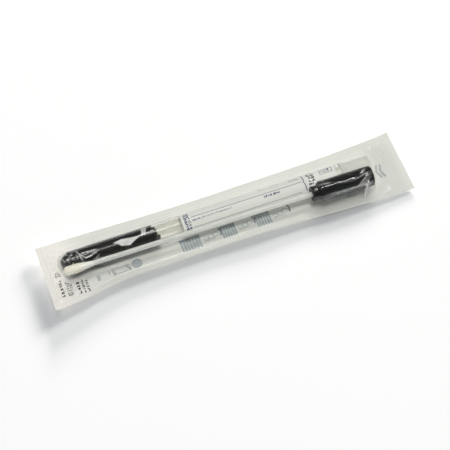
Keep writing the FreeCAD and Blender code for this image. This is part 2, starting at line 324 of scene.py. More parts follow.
def relax(points, fixed, shapes, clearance, rounds, floor):
    """Draws a web tight: each free point moves to the mean of its neighbours, most of all
    of those across the pouch, and then out of what it leans on."""
    across = 0.7
    free = ~fixed
    for _ in range(rounds):
        mean = points.copy()
        mean[1:-1, 1:-1] = (
            (points[:-2, 1:-1] + points[2:, 1:-1]) * (1 - across)
            + (points[1:-1, :-2] + points[1:-1, 2:]) * across
        ) / 2
        points[free] = points[free] * 0.2 + mean[free] * 0.8
        push_free(points, free, shapes, clearance)
        points[..., 2] = np.maximum(points[..., 2], floor)
    return points


def tight_web(shapes, clearance, side, lift, rounds, floor):
    """A web drawn tight from seam to seam, over or under the shapes."""
    inner = []
    for i, x in enumerate(COLUMNS_X):
        seam_front = (front_edge[i] + SIDE_SEAL, seam_height[i] + lift)
        seam_back = (back_edge[i] - SIDE_SEAL, seam_height[i] + lift)
        inner.append(hull_section(x, seam_front, seam_back, INNER_ROWS, shapes, clearance, side))
    points = assemble(np.stack(inner), lift)
    return relax(points, sealed_mask(), shapes, clearance, rounds, floor)


film_points = tight_web(
    [TUBE, SWAB], FILM_CLEARANCE, side=1, lift=FILM_LIFT, rounds=150, floor=-9.0
)
web_points = tight_web([TUBE], WEB_CLEARANCE, side=-1, lift=0.0, rounds=60, floor=WEB_FLOOR)


# ---- creases and crumples in the webs ----


def smoothstep(t):
    t = np.clip(t, 0, 1)
    return t * t * (3 - 2 * t)


def refine(points):
    """Puts a point between each two, on a smooth curve through their neighbours."""
    for axis in (0, 1):
        p = np.moveaxis(points, axis, 0)
        between = (p[:-1] + p[1:]) / 2
        between[1:-1] = (9 * (p[1:-2] + p[2:-1]) - p[:-3] - p[3:]) / 16
        finer = np.empty((2 * len(p) - 1, *p.shape[1:]))
        finer[::2] = p
        finer[1::2] = between
        points = np.moveaxis(finer, 0, axis)
    return points


def patchy_noise(x, y, cell_x, cell_y, seed):
    """Smooth noise from -1 to 1 with features of that size."""
    values = np.random.default_rng(seed).uniform(-1, 1, (64, 256))
    u, v = x / cell_x + 100, y / cell_y + 30.0
    i, j = np.floor(u).astype(int), np.floor(v).astype(int)
    s, t = smoothstep(u - i), smoothstep(v - j)

    def corner(a, b):
        return values[(j + b) % 64, (i + a) % 256]

    top = corner(0, 0) * (1 - s) + corner(1, 0) * s
    low = corner(0, 1) * (1 - s) + corner(1, 1) * s
    return top * (1 - t) + low * t


def facets(x, y, size, slope, seed):
    """Crumpled relief: flat facets of about that size and slope, which meet in folds."""
    random = np.random.default_rng(seed)
    warp = patchy_noise(x, y, size * 2.3, size * 1.9, seed + 1) * size * 0.6
    total = np.zeros(x.shape)
    for _ in range(4):
        angle = random.uniform(0, math.pi)
        wave = size * random.uniform(0.8, 1.8)
        phase = (x * math.cos(angle) + y * math.sin(angle) + warp) / wave + random.uniform(0, 1)
        total += slope / 2 * wave * np.abs(phase % 1.0 - 0.5) * 2
    return total


def along_line(x, y, corners):
    """How far each place is from a line in plan, and how far along the line it is, 0 to 1."""
    corners = np.array(corners, float)
    lengths = np.linalg.norm(np.diff(corners, axis=0), axis=1)
    nearest = np.full(x.shape, 1e9)
    place = np.zeros(x.shape)
    done = 0.0
    for (ax, ay), (bx, by), length in zip(corners[:-1], corners[1:], lengths):
        t = np.clip(((x - ax) * (bx - ax) + (y - ay) * (by - ay)) / length**2, 0, 1)
        away = np.hypot(x - ax - t * (bx - ax), y - ay - t * (by - ay))
        closer = away < nearest
        nearest = np.where(closer, away, nearest)
        place = np.where(closer, (done + t * length) / lengths.sum(), place)
        done += length
    return nearest, place


def inside(x, y, corners, soft):
    """1 inside a polygon in plan and 0 outside, with an edge that soft."""
    crossings = np.zeros(x.shape, int)
    for (ax, ay), (bx, by) in zip(corners, corners[1:] + corners[:1]):
        if ay != by:
            spans = (y < max(ay, by)) & (y >= min(ay, by))
            crossings += spans & (x < ax + (y - ay) * (bx - ax) / (by - ay))
    away, _ = along_line(x, y, corners + corners[:1])
    signed = np.where(crossings % 2 == 1, away, -away)
    return smoothstep(0.5 + signed / soft)


# Each crease: its height, its half-width, the painted highlight along its fold, and its line in
# plan.
CREASES = [
    # a collar round the tube's closed end, and small folds between it and the bud
    (
        0.35, 0.5, 0.5,
        (-83.6, 7), (-82.2, 5.3), (-81.3, 3.1), (-81.2, 0.9), (-80.7, -0.8), (-79.8, -2.3),
    ),
    (0.2, 0.4, 0.4, (-82.8, 4.5), (-83, 2.4), (-82.5, 0.7)),
    (0.25, 0.4, 0.35, (-89.9, 4.5), (-89.5, 2.2), (-88.7, 0.7)),
    (0.25, 0.5, 0.4, (-91.7, 2.9), (-91.3, 0.6), (-91, -0.7)),
    (0.2, 0.5, 0.5, (-88.4, 2.2), (-87.1, 1.9)),
    (0.2, 0.8, 0.15, (-89.5, 6.7), (-87.1, 7.3), (-84, 6.9)),
    (0.25, 0.5, 0.25, (-92.8, 5.3), (-92, 6.7), (-90.4, 7.9)),
    (0.2, 0.5, 0.2, (-87.6, 5.1), (-85.6, 4.1), (-84.4, 4.7)),
    (0.2, 0.5, 0.2, (-86.4, 0.7), (-85, 2.1), (-84.2, 0.3)),
    # a loop of folds on the gel, like a feather
    (0.3, 0.42, 0.7, (-81.6, 3), (-79.5, 3.6), (-76.3, 3.5), (-73.3, 3.4), (-70.9, 2.8)),
    (0.3, 0.42, 0.7, (-80.5, 1.1), (-78.4, 0.2), (-76, 0.8), (-73.7, 1.4), (-70.9, 2.3)),
    (0.25, 0.5, 0.4, (-80.9, 2.9), (-80.2, 1.9), (-79.2, 1)),
    (0.25, 0.4, 0.4, (-75.8, -2.6), (-73.6, -1.9), (-71.2, -0.2)),
    (0.3, 0.8, 0.15, (-74.5, 8.7), (-70, 8.6), (-62.8, 8.4), (-57.9, 8.2)),
    # from the flat place on the gel, on along the clear tube
    (0.3, 0.5, 0.75, (-50, 2.3), (-46.3, 2.7), (-44.1, 2.7), (-41.8, 2.7), (-39.3, 2)),
    (0.25, 0.6, 0.35, (-38.6, 1.9), (-34.8, 2.2), (-29, 2.2)),
    (0.2, 0.7, 0.1, (-44, 5.7), (-37, 4.5)),
    # fanning out from the tube and the bud to the left seal
    (0.35, 0.9, 0.12, (-92.5, 8.1), (-98.4, 14.6)),
    (0.3, 0.8, 0.10, (-93.6, 5.7), (-98.6, 9.1)),
    (0.3, 0.8, 0.15, (-94.4, 3.1), (-98.6, 3.7)),
    (0.3, 0.8, 0.20, (-93.6, 0.1), (-98.6, -0.7)),
    (0.35, 0.9, 0.15, (-93.2, -2.9), (-98.6, -6.9)),
    (0.4, 1, 0.15, (-91, -5.9), (-98.2, -13.1)),
    (0.35, 0.9, 0.10, (-85, -6.9), (-91.5, -14.3)),
    (0.25, 0.9, 0.05, (-80, -5.7), (-70, -7.5), (-58, -7.3)),
    (0.2, 0.9, 0.05, (-76, -7.7), (-66, -10.1)),
    (0.2, 0.5, 0.22, (-73.6, -2), (-69.5, -3), (-65.7, -3.2)),
    (0.2, 0.5, 0.12, (-72.6, -7.3), (-67.5, -6.8), (-63.2, -7.2)),
    (0.2, 0.5, 0.1, (-64.9, -9), (-59.3, -8.7), (-52.7, -9.2)),
    (0.2, 0.6, 0.1, (-45.7, -4.7), (-37.3, -4.8), (-30.5, -6.2)),
    # along the cap
    (0.1, 0.6, 0.36, (47.6, -6.7), (50.9, -7), (54.1, -7.5), (55.6, -7.7)),
    (0.05, 0.55, 0.24, (56.6, -8.3), (59.1, -9.2), (62.3, -9.8), (65.5, -10.3), (67.8, -10.5)),
    (0.3, 0.5, 0.3, (66.8, -10.5), (70.2, -10.2), (73.4, -9.5), (77.8, -8.8)),
    (0.35, 0.45, 0.35, (68, -14), (71.6, -12.3), (74.5, -11), (77.9, -9.9)),
    (0.3, 0.4, 0.25, (69.7, -14), (73.9, -12.4), (77.9, -11.4)),
    (0.05, 0.5, 0.1, (65.4, -6.5), (68.1, -6.9)),
    (0.15, 0.9, 0.35, (45.9, -8.3), (47.5, -7.9)),
    (0.25, 0.5, 0.4, (52.4, -13), (61.6, -13.5), (70.8, -13.7), (77, -13.9)),
    # by the right seal
    (0.1, 1.4, 0.14, (92.3, 15), (91.8, 10.3), (91.2, 5.1)),
    (0.1, 1, 0.12, (97.5, 13.5), (96.9, 9.7)),
    # round the ends of the cap and the stopper
    (0.4, 0.6, 0.35, (79.8, -4.5), (81.5, -6.9), (80.9, -10.5), (79.1, -13.7)),
    (0.2, 0.5, 0.4, (81.8, -9.3), (80.9, -11.9), (79.7, -12.7)),
    (0.25, 0.6, 0.3, (72, -13.8), (74.2, -14.5), (76.8, -14.1)),
    # soft folds to the right seal
    (0.1, 1.4, 0.06, (93.8, 13.7), (93.8, 6.6), (92.4, -1)),
    # long soft folds beside the tube
    (0.12, 1.3, 0.06, (-52, 11), (-20, 11.1), (14, 10.1)),
    (0.12, 1.4, 0.06, (8, 12.1), (40, 11.5), (66, 12.3)),
    (0.12, 1.2, 0.06, (-58, -10.3), (-30, -10.8), (-6, -10.1)),
    (0.12, 1.2, 0.06, (-24, -8.5), (10, -9.3), (36, -10.7)),
    (0.12, 1.2, 0.06, (24, -12.8), (42, -14.1), (58, -15.3)),
]
# Flat places where the film bridges over a round piece: how far the plane stands off the
# film at the first corner, how white its painted reflection of the overhead lamp is, and
# its corners in plan. They all slope up towards the back, and a little to the right.
FLATS = [
    (
        0.15, 0.66,
        (-62.8, 3.4), (-58.5, 4), (-53.4, 3.1), (-48.1, 2.3), (-50.6, 1.2), (-52.7, 0.1),
        (-54.8, -1.2), (-59.2, 0), (-60.4, 1.6),
    ),
    (0.3, 0.45, (-46.8, 6.1), (-43.7, 6.2), (-45.2, 2.2), (-47.6, 2.1)),
    (0.3, 0.5, (71.6, -8.6), (73.2, -7.3), (75.8, -6.9), (73.5, -8.4)),
]
FLAT_SLOPE = (0.02, 0.06)
# Painted glints, as white spots where folds meet: x, y, radius and how white.
SPOTS = [(74.7, -13.3, 0.5, 0.8), (74, -14.5, 0.4, 0.5), (-65.4, -5.5, 0.4, 0.3)]


def sealed_share(points):
    """How white the seals are: most at the left end, a little along the sides."""
    x, y = points[..., 0], points[..., 1]
    front = smoothstep((points[:, :1, 1] + SIDE_SEAL - y) / 0.6)
    back = smoothstep((y - points[:, -1:, 1] + SIDE_SEAL) / 0.6)
    left = smoothstep((LEFT_SEAL_X + 0.4 - x) / 0.8)
    return np.maximum(left * 0.35, np.maximum(front * 0.08, back * 0.05))


def openness(points):
    """0 in the seals, up to 1 a little way inside them."""
    x, y = points[..., 0], points[..., 1]
    front = y - points[:, :1, 1] - SIDE_SEAL
    back = points[:, -1:, 1] - SIDE_SEAL - y
    from_seal = np.minimum(np.minimum(front, back), np.minimum(x - LEFT_SEAL_X, RIGHT_SEAL_X - x))
    return smoothstep(from_seal / 2)


def add_creases(x, y, height, white):
    """Adds each crease's height, and the painted highlight along its broken fold."""
    broken = 0.75 + 0.45 * patchy_noise(x, y, 1.6, 1.2, 33)
    for rise, width, painted_highlight, *corners in CREASES:
        away, place = along_line(x, y, corners)
        ends = 0.2 + 0.8 * smoothstep(place / 0.2) * smoothstep((1 - place) / 0.2)
        height = height + rise * ends * np.exp(-((away / width) ** 2))
        white = white + painted_highlight * ends * broken * np.exp(-((away / (0.75 * width)) ** 2))
    return height, white


def add_crumples(x, y, height, tip):
    """Adds facets at the left end, round the bud's tip, in front of it and at the cap's end,
    and faint ones all along."""
    left_fan = near(x, -95, 7)
    front = near(x, -80, 14) * near(y, -8, 5)
    cap_end = near(x, 76, 9) * near(y, -9, 7)
    height = height + left_fan * facets(x, y, 4.2, 0.10, 11) + tip * facets(x, y, 2, 0.22, 12)
    height += front * facets(x, y, 4, 0.06, 13) + cap_end * facets(x, y, 3.4, 0.08, 14)
    return height + 0.6 * near(x, 0, 70) * facets(x, y * 2.2, 14, 0.02, 15)


def add_flats(points, x, y, white):
    """Lifts the film to each flat place's plane, and paints a white reflection of the overhead lamp
    on it there.
    """
    for rise, painted_highlight, *corners in FLATS:
        mask = inside(x, y, corners, 0.7)
        u, v = x - corners[0][0], y - corners[0][1]
        first = np.unravel_index(np.argmin(np.hypot(u, v)), u.shape)
        plane = points[first][2] + rise + FLAT_SLOPE[0] * u + FLAT_SLOPE[1] * v
        points[..., 2] += mask * np.clip(plane - points[..., 2], 0, 1.4)
        texture = 1.0 + 0.12 * patchy_noise(x, y, 1.2, 0.9, 35)
        white = white + painted_highlight * mask * texture
    return white


def film_relief(points):
    """Works creases, crumples and flat places into the tight film. Also gives how white it is at
    each point:
    its milky seals, and painted highlights on its folds, flat places and crumples."""
    normals = grid_normals(points)
    x, y = points[..., 0].copy(), points[..., 1].copy()
    opened = openness(points)
    height = 0.10 * patchy_noise(x, y, 40, 2.6, 21) + 0.04 * patchy_noise(x, y, 12, 2, 31)
    height, white = add_creases(x, y, height, sealed_share(points))
    tip = near(x, -88, 6) * near(y, 3, 7)
    height = add_crumples(x, y, height, tip)
    # painted reflections: pale mottling on the crumpled film over the tube's closed end
    white = white + tip * 0.22 * np.maximum(0, patchy_noise(x, y, 1.2, 1, 34))
    points = points + normals * (height * opened)[..., None]
    white = add_flats(points, x, y, white)
    # painted glints where folds meet
    for spot_x, spot_y, radius, painted_highlight in SPOTS:
        white = white + painted_highlight * np.exp(-((x - spot_x) ** 2 + (y - spot_y) ** 2) / radius**2)
    push_free(points, opened > 0, (TUBE, SWAB), FILM_CLEARANCE * 0.7)
    return points, np.clip(white, 0, 0.95)


def web_relief(points):
    """Soft lengthwise folds and crumpled ends."""
    x, y = points[..., 0], points[..., 1]
    height = 0.11 * patchy_noise(x, y, 45, 2.4, 22)
    ends = near(x, -94, 9) + 0.7 * near(x, 92, 9)
    height += ends * facets(x, y, 6, 0.05, 16)
    points[..., 2] = np.maximum(points[..., 2] + height * openness(points), WEB_FLOOR)
    return points


film_points, film_seal_white_and_painted_highlight = film_relief(refine(film_points))
web_points = web_relief(web_points)


# ---- materials ----


def new_material(name):
    material = bpy.data.materials.new(name)
    material.use_nodes = True
    tree = material.node_tree
    tree.nodes.clear()
    return material, tree


def add(tree, kind, settings=None, **inputs):
    """Adds a node. An input's name has _ for a space, or is _ and the input's number. Its
    value is a socket or a plain value."""
    made = tree.nodes.new("ShaderNode" + kind)
    for key, value in (settings or {}).items():
        setattr(made, key, value)
    for key, value in inputs.items():
        named = int(key[1:]) if key[0] == "_" else key.replace("_", " ")
        socket = made.inputs[named]
        if isinstance(value, bpy.types.NodeSocket):
            tree.links.new(value, socket)
        else:
            socket.default_value = value
    return made


def rgb(red, green, blue):
    """A colour given in sRGB from 0 to 255, as linear values."""
    channels = []
    for c in (red, green, blue):
        c = c / 255
        channels.append(c / 12.92 if c <= 0.04045 else ((c + 0.055) / 1.055) ** 2.4)
    return (*channels, 1)


def finished(material, shader):
    """The material, with that shader as its surface."""
    add(material.node_tree, "OutputMaterial", Surface=shader)
    return material


def position(tree):
    return add(tree, "TexCoord").outputs["Object"]


def along_x(tree):
    return add(tree, "SeparateXYZ", Vector=position(tree)).outputs["X"]


def noise(tree, scale, detail=2.0, roughness=0.5, stretch=None):
    """Noise with that many features per metre."""
    vector = position(tree)
    if stretch:
        vector = add(tree, "Mapping", Vector=vector, Scale=stretch).outputs[0]
    return add(
        tree, "TexNoise",
        Vector=vector, Scale=scale, Detail=detail, Roughness=roughness,
    ).outputs["Fac"]


def ramp(tree, factor, stops):
    made = add(tree, "ValToRGB", Fac=factor)
    elements = made.color_ramp.elements
    while len(elements) < len(stops):
        elements.new(0.5)
    for element, (place, colour) in zip(elements, stops):
        element.position = place
        element.color = colour
    return made.outputs["Color"]


def span(tree, factor, low, high):
    """The factor from 0 to 1 mapped to low to high."""
    return add(tree, "MapRange", Value=factor, To_Min=low, To_Max=high).outputs[0]


def fade(tree, factor, start, end, before=0.0, after=1.0):
    """Goes softly from before to after while the factor goes from start to end."""
    return add(
        tree, "MapRange", {"interpolation_type": "SMOOTHSTEP"},
        Value=factor, From_Min=start, From_Max=end, To_Min=before, To_Max=after,
    ).outputs[0]


def bump(tree, height, distance, strength):
    made = add(tree, "Bump", Height=height, Distance=distance, Strength=strength)
    return made.outputs[0]


def math_node(tree, operation, a, b):
    return add(tree, "Math", {"operation": operation}, _0=a, _1=b).outputs[0]


def blend(tree, share, first, second, kind="RGBA"):
    """The first colour or number, going over to the second with the share."""
    made = add(tree, "Mix", {"data_type": kind}, Factor=share, A=first, B=second)
    return made.outputs["Result"]


def bsdf(tree, kind, **inputs):
    return add(tree, "Bsdf" + kind, **inputs).outputs[0]


def layered(tree, share, first, second):
    """The first shader, with that share of the second."""
    return add(tree, "MixShader", Fac=share, _1=first, _2=second).outputs[0]


def mirror_share(tree, head_on, grazing):
    """The share of light that a clear surface mirrors, the same from both sides."""
    facing = add(tree, "LayerWeight", Blend=0.5).outputs["Facing"]
    return span(tree, math_node(tree, "POWER", facing, 5), head_on, grazing)


def film_material():
    """Clear film, which mirrors most at a glancing angle. Its seals are milky, and white painted on
    its folds and flat places stands in for their glints.
    """
    material, tree = new_material("clear_film")
    waves = noise(tree, 90)
    grain = noise(tree, 900)
    clear = bsdf(tree, "Transparent", Color=(0.955, 0.957, 0.94, 1))
    gloss = bsdf(
        tree, "Principled", Base_Color=(0.95, 0.95, 0.95, 1), Metallic=1.0,
        Roughness=span(tree, grain, 0.04, 0.09), Normal=bump(tree, waves, 0.0004, 0.35),
    )
    milky = bsdf(tree, "Principled", Base_Color=(0.96, 0.955, 0.90, 1), Roughness=0.5)
    seal_white_and_painted_highlight = add(tree, "Attribute", {"attribute_name": "seal_white_and_painted_highlight"}).outputs["Fac"]
    veil = math_node(tree, "ADD", span(tree, waves, 0, 0.004), seal_white_and_painted_highlight)
    body = layered(tree, veil, clear, milky)
    return finished(material, layered(tree, mirror_share(tree, 0.06, 0.4), body, gloss))


def web_material():
    """White web, which lets a little light through. Its left end is painted lighter and warmer, for
    the light that end catches.
    """
    material, tree = new_material("white_web")
    fibre = noise(tree, 700, 4, 0.6, (0.35, 1, 1))
    cloud = noise(tree, 60, 3)
    plain = blend(tree, cloud, rgb(230, 230, 225), rgb(225, 225, 218))
    # painted light: the web is lighter and warmer towards its left end
    left_end_painted_light = fade(tree, along_x(tree), -0.096, -0.07, 1, 0)
    paper = bsdf(
        tree, "Principled", Base_Color=blend(tree, left_end_painted_light, plain, rgb(249, 244, 239)),
        Roughness=span(tree, fibre, 0.5, 0.7), Specular_IOR_Level=0.3,
        Normal=bump(tree, fibre, 0.00004, 0.5),
    )
    through = bsdf(tree, "Translucent", Color=(0.95, 0.95, 0.91, 1))
    return finished(material, layered(tree, 0.12, paper, through))


def let_lamps_through(tree, shader, share):
    """The shader, except that each surface passes that share of the lamps' light on."""
    passed = bsdf(tree, "Transparent", Color=(share, share, share, 1))
    lamp_ray = add(tree, "LightPath").outputs["Is Shadow Ray"]
    return layered(tree, lamp_ray, shader, passed)


def tube_material():
    """Clear plastic that bends light, and lets the lamps' light straight through."""
    material, tree = new_material("clear_tube")
    flow = noise(tree, 160, 2, 0.5, (0.2, 1, 1))
    clear = bsdf(
        tree, "Principled", Base_Color=(0.975, 0.97, 0.94, 1), Transmission_Weight=1.0, IOR=1.5,
        Roughness=span(tree, flow, 0.14, 0.22), Specular_IOR_Level=0.15,
    )
    return finished(material, let_lamps_through(tree, clear, 0.94))


def plain_plastic(name, base, other, roughness, through=0.0):
    """A moulded plastic with a fine grain and slight flow marks. It may let light through."""
    material, tree = new_material(name)
    flow = noise(tree, 120, 3, 0.5, (0.3, 1, 1))
    grain = noise(tree, 1200)
    shader = bsdf(
        tree, "Principled", Base_Color=blend(tree, flow, base, other),
        Roughness=span(tree, flow, roughness - 0.06, roughness + 0.08),
        Normal=bump(tree, grain, 0.00003, 0.5),
    )
    if through:
        shader = layered(tree, through, shader, bsdf(tree, "Translucent", Color=base))
    return finished(material, shader)


def gel_material():
    """Black gel with paler grit in it."""
    material, tree = new_material("charcoal_gel")
    grit = noise(tree, 1500, 4, 0.7)
    patches = noise(tree, 220, 3)
    stops = [(0.35, rgb(12, 12, 10)), (0.64, rgb(24, 23, 19)), (0.8, rgb(84, 78, 62))]
    gel = bsdf(
        tree, "Principled", Base_Color=ramp(tree, grit, stops),
        Roughness=span(tree, patches, 0.25, 0.5), Normal=bump(tree, patches, 0.0003, 0.4),
    )
    return finished(material, gel)


def label_material():
    """White label stock, which lets some light through."""
    material, tree = new_material("label_stock")
    fibre = noise(tree, 1500, 4, 0.6)
    cloud = noise(tree, 80)
    paper = bsdf(
        tree, "Principled", Base_Color=blend(tree, cloud, rgb(246, 246, 242), rgb(238, 238, 233)),
        Roughness=0.42, Normal=bump(tree, fibre, 0.00002, 0.5),
    )
    through = bsdf(tree, "Translucent", Color=(0.95, 0.95, 0.93, 1))
    return finished(material, let_lamps_through(tree, layered(tree, 0.3, paper, through), 0.6))


def bud_material():
    """Fibre, which thins out over the stick at the bud's inner end."""
    material, tree = new_material("swab_fibre")
    strand = noise(tree, 2600, 4, 0.6, (1, 0.4, 0.4))
    wound = ramp(tree, strand, [(0.3, rgb(243, 236, 215)), (0.7, rgb(255, 252, 240))])
    thin = fade(tree, along_x(tree), (bud_high[0] - 8) * MM, bud_high[0] * MM)
    fibre = bsdf(
        tree, "Principled", Base_Color=blend(tree, thin, wound, rgb(244, 244, 239)),
        Roughness=0.85, Normal=bump(tree, strand, 0.0001, 0.6),
        Sheen_Weight=0.3, Sheen_Roughness=0.5,
    )
    return finished(material, fibre)


def ink_material(name, colour, cover):
    """Print: an ink of that colour, thinner in places."""
    material, tree = new_material(name)
    thin = noise(tree, 900, 3, 0.6)
    ink = bsdf(tree, "Principled", Base_Color=colour, Roughness=0.5)
    gone = bsdf(tree, "Transparent", Color=(1, 1, 1, 1))
    return finished(material, layered(tree, span(tree, thin, cover - 0.15, cover + 0.1), gone, ink))


INKS = {
    "blue": ink_material("blue_ink", rgb(112, 140, 162), 0.31),
    "pale": ink_material("pale_ink", rgb(158, 182, 196), 0.28),
    "slate": ink_material("slate_ink", rgb(84, 98, 112), 0.62),
    "violet": ink_material("violet_ink", rgb(52, 54, 118), 0.85),
    "dark": ink_material("dark_ink", rgb(34, 34, 37), 0.80),
}

# ---- pieces ----

MATERIALS = {
    "clear_film": film_material(),
    "white_web": web_material(),
    "clear_tube": tube_material(),
    "charcoal_gel": gel_material(),
    "label_stock": label_material(),
    "natural_plastic": plain_plastic(
        "natural_plastic", rgb(247, 247, 240), rgb(240, 240, 232), 0.4, through=0.4
    ),
    "black_plastic": plain_plastic("black_plastic", rgb(9, 9, 8), rgb(15, 15, 13), 0.5),
    "white_plastic": plain_plastic(
        "white_plastic", rgb(248, 248, 244), rgb(240, 240, 235), 0.35, through=0.45
    ),
    "swab_fibre": bud_material(),
}


def fold_sharply(piece, shape, row):
    """Folds a web sharply along its two side seals, so that the light doesn't round them."""
    columns, rows = shape[:2]
    vertex_row = np.arange(columns * rows) % rows
    folded = (vertex_row == row) | (vertex_row == rows - 1 - row)
    ends = np.zeros(len(piece.data.edges) * 2, int)
    piece.data.edges.foreach_get("vertices", ends)
    ends = ends.reshape(-1, 2)
    sharp = piece.data.attributes.new("sharp_edge", "BOOLEAN", "EDGE")
    sharp.data.foreach_set("value", folded[ends].all(1))


film = new_piece(
    "pouch_film_sheet", film_points.reshape(-1, 3), grid_faces(*film_points.shape[:2]),
    "clear_film",
)
fold_sharply(film, film_points.shape, 2 * SEAL_ROWS)
# milky seals, and painted highlights on the film's folds, flat places and crumples
seal_white_and_painted_highlight = film.data.attributes.new("seal_white_and_painted_highlight", "FLOAT", "POINT")
seal_white_and_painted_highlight.data.foreach_set("value", film_seal_white_and_painted_highlight.ravel())
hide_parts("pouch_film")

web = new_piece(
    "pouch_back_sheet", web_points.reshape(-1, 3), grid_faces(*web_points.shape[:2]),
    "white_web",
)
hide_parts("pouch_back")


# ---- gel and bud ----


def frame_along(line):
    """Two directions square to a line: one level, towards the front, and one upward."""
    level = unit(np.cross(line, [0, 0, 1.0]))
    return level, np.cross(level, line)


def whole_turn(count):
    """Angles right round, evenly spaced."""
    return np.linspace(0, 2 * math.pi, count, endpoint=False)


def turned_mesh(start, line, along, radius):
    """Points round a line. along and radius are grids: rings by points round a ring."""
    level, up = frame_along(line)
    turns = whole_turn(along.shape[1])
    out = np.cos(turns)[:, None] * level + np.sin(turns)[:, None] * up
    return start + along[..., None] * line + radius[..., None] * out


def turned_piece(name, start, line, along, radius, slot):
    """A closed turned piece, whose first and last rings are drawn to a point."""
    points = turned_mesh(start, line, along, radius)
    rings, count = along.shape
    vertices = [points[0].mean(0)] + list(points.reshape(-1, 3)) + [points[-1].mean(0)]
    faces = shifted(grid_faces(rings, count, closed=True), 1)
    last = rings * count + 1
    for j in range(count):
        k = (j + 1) % count
        faces.append((0, 1 + k, 1 + j))
        faces.append((last, last - count + j, last - count + k))
    return new_piece(name, vertices, faces, slot)


TUBE_WALL = 1.0
# The gel reaches this far into the wall, so that no gap shows.
GEL_WETS = 0.012
RING_POINTS = 96


def gel_rings(radius, begins, ends):
    """The gel's rings as (along, radius), from the tube's round end to the gel's free end."""
    rings = []
    for angle in np.linspace(0.04, math.pi / 2, 14):
        rings.append((begins + radius * (1 - math.cos(angle)), radius * math.sin(angle)))
    for s in np.linspace(begins + radius + 1, ends - 3.2, 40):
        rings.append((s, radius))
    # the free end rounds off from the wall to a low dome
    for share in np.linspace(0, 1, 16)[:-1]:
        angle = share * math.pi / 2
        rings.append((ends - 2.4 + 2.2 * math.sin(angle), radius * math.cos(angle) ** 0.55))
    return rings


def make_gel():
    """Gel that wets the tube's wall, so the wall shows it over its whole width. Its free
    end has slumped a little and is uneven."""
    ends = box_of("transport_medium")[1][0] - TUBE.start[0] - 0.3
    rings = gel_rings(TUBE_RADIUS - TUBE_WALL + GEL_WETS, TUBE_WALL - GEL_WETS, ends)
    along = np.array([[s] * RING_POINTS for s, _ in rings])
    around = np.array([[r] * RING_POINTS for _, r in rings])
    turns = whole_turn(RING_POINTS)
    freedom = smoothstep((along - (ends - 6)) / 4)
    uneven = patchy_noise(np.cos(turns) * 6, np.sin(turns) * 6, 2.6, 2.6, 51)
    slump = -1.1 * np.sin(turns) + 0.5 * np.cos(turns)
    along = along + freedom * (0.8 * uneven + slump * 0.55)[None, :]
    gel = turned_piece("charcoal_gel_column", TUBE.start, TUBE.line, along, around, "charcoal_gel")
    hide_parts("transport_medium")


BUD_RINGS = 130
BUD_TAIL = 1.6
LOOSE_FIBRES = 420
FIBRE_RADIUS = 0.022
FIBRE_STEPS = 6


def make_bud():
    """A bud of fibre wound on the stick. Gives its profile: places along it, and radii."""
    s = np.linspace(0, 1, BUD_RINGS) ** 1.15 * (BUD_LONG + BUD_TAIL)
    nose = np.sqrt(np.clip(1 - (1 - np.clip(s / 2.6, 0, 1)) ** 2, 0, 1))
    tail = 1 - smoothstep((s - BUD_LONG * 0.5) / (BUD_LONG * 0.62)) * 0.42
    profile = (BUD_RADIUS + 0.05) * nose * tail
    along, around = np.meshgrid(s, whole_turn(RING_POINTS), indexing="ij")
    wound = np.sin(7 * around + along * 2.4 + 1.5 * patchy_noise(along, around * 2, 2, 2, 61))
    lumps = patchy_noise(along + 2 * np.cos(around), 4 * np.sin(around), 2.2, 1.7, 62)
    fuzz = patchy_noise(along + 9 * np.cos(around), 9 * np.sin(around), 0.5, 0.5, 63)
    body = profile[:, None] * (1 + 0.05 * lumps) + (0.06 * wound + 0.07 * fuzz) * nose[:, None]
    body[-1] = STICK_RADIUS + 0.02
    body = np.maximum(body, np.where(along > 5, STICK_RADIUS + 0.02, 0.01))
    body[0] = 0.01
    bud = turned_piece("swab_bud_fibres", SWAB.start, SWAB.line, along, body, "swab_fibre")
    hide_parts("swab_bud")
    return s, profile


def make_loose_fibres(s, profile):
    """Loose fibres that stand off the bud: three-sided threads in low arches."""
    level, up = frame_along(SWAB.line)
    corners = whole_turn(3)
    t = np.linspace(0, 1, FIBRE_STEPS + 1)
    vertices, faces = [], []
    for _ in range(LOOSE_FIBRES):
        place = rng.uniform(0.3, BUD_LONG)
        turn = rng.uniform(0, 2 * math.pi)
        radius = float(np.interp(place, s, profile))
        long = rng.uniform(0.8, 2.6)
        heading = rng.choice([-1, 1]) * rng.uniform(0.4, 1.3)
        rise = rng.uniform(0.05, 0.32)
        faces += shifted(grid_faces(FIBRE_STEPS + 1, 3, closed=True), len(vertices))
        at = place + long * t * math.cos(heading)
        turned = turn + long * t * math.sin(heading) / max(radius, 0.8)
        out = np.cos(turned)[:, None] * level + np.sin(turned)[:, None] * up
        high = np.interp(at, s, profile) - 0.04 + rise * np.sin(math.pi * t)
        centre = SWAB.start + at[:, None] * SWAB.line + high[:, None] * out
        side = np.cross(out, SWAB.line)
        thread = [centre + FIBRE_RADIUS * (math.cos(a) * out + math.sin(a) * side) for a in corners]
        vertices += list(np.stack(thread, 1).reshape(-1, 3))
    new_piece("swab_bud_loose_fibres", vertices, faces, "swab_fibre")


make_gel()
make_loose_fibres(*make_bud())


# ---- print ----

# A stroke of ink is a pair: its corners in plan, and its width.


def box_outline(x0, y0, x1, y1, width):
    return [(x0, y0), (x1, y0), (x1, y1), (x0, y1), (x0, y0)], width


def ring(x, y, radius, width, start=0.0, end=360.0, squash=1.0):
    angles = np.radians(np.linspace(start, end, max(8, int(abs(end - start) / 15))))
    corners = [(x + radius * math.cos(a), y + squash * radius * math.sin(a)) for a in angles]
    return corners, width


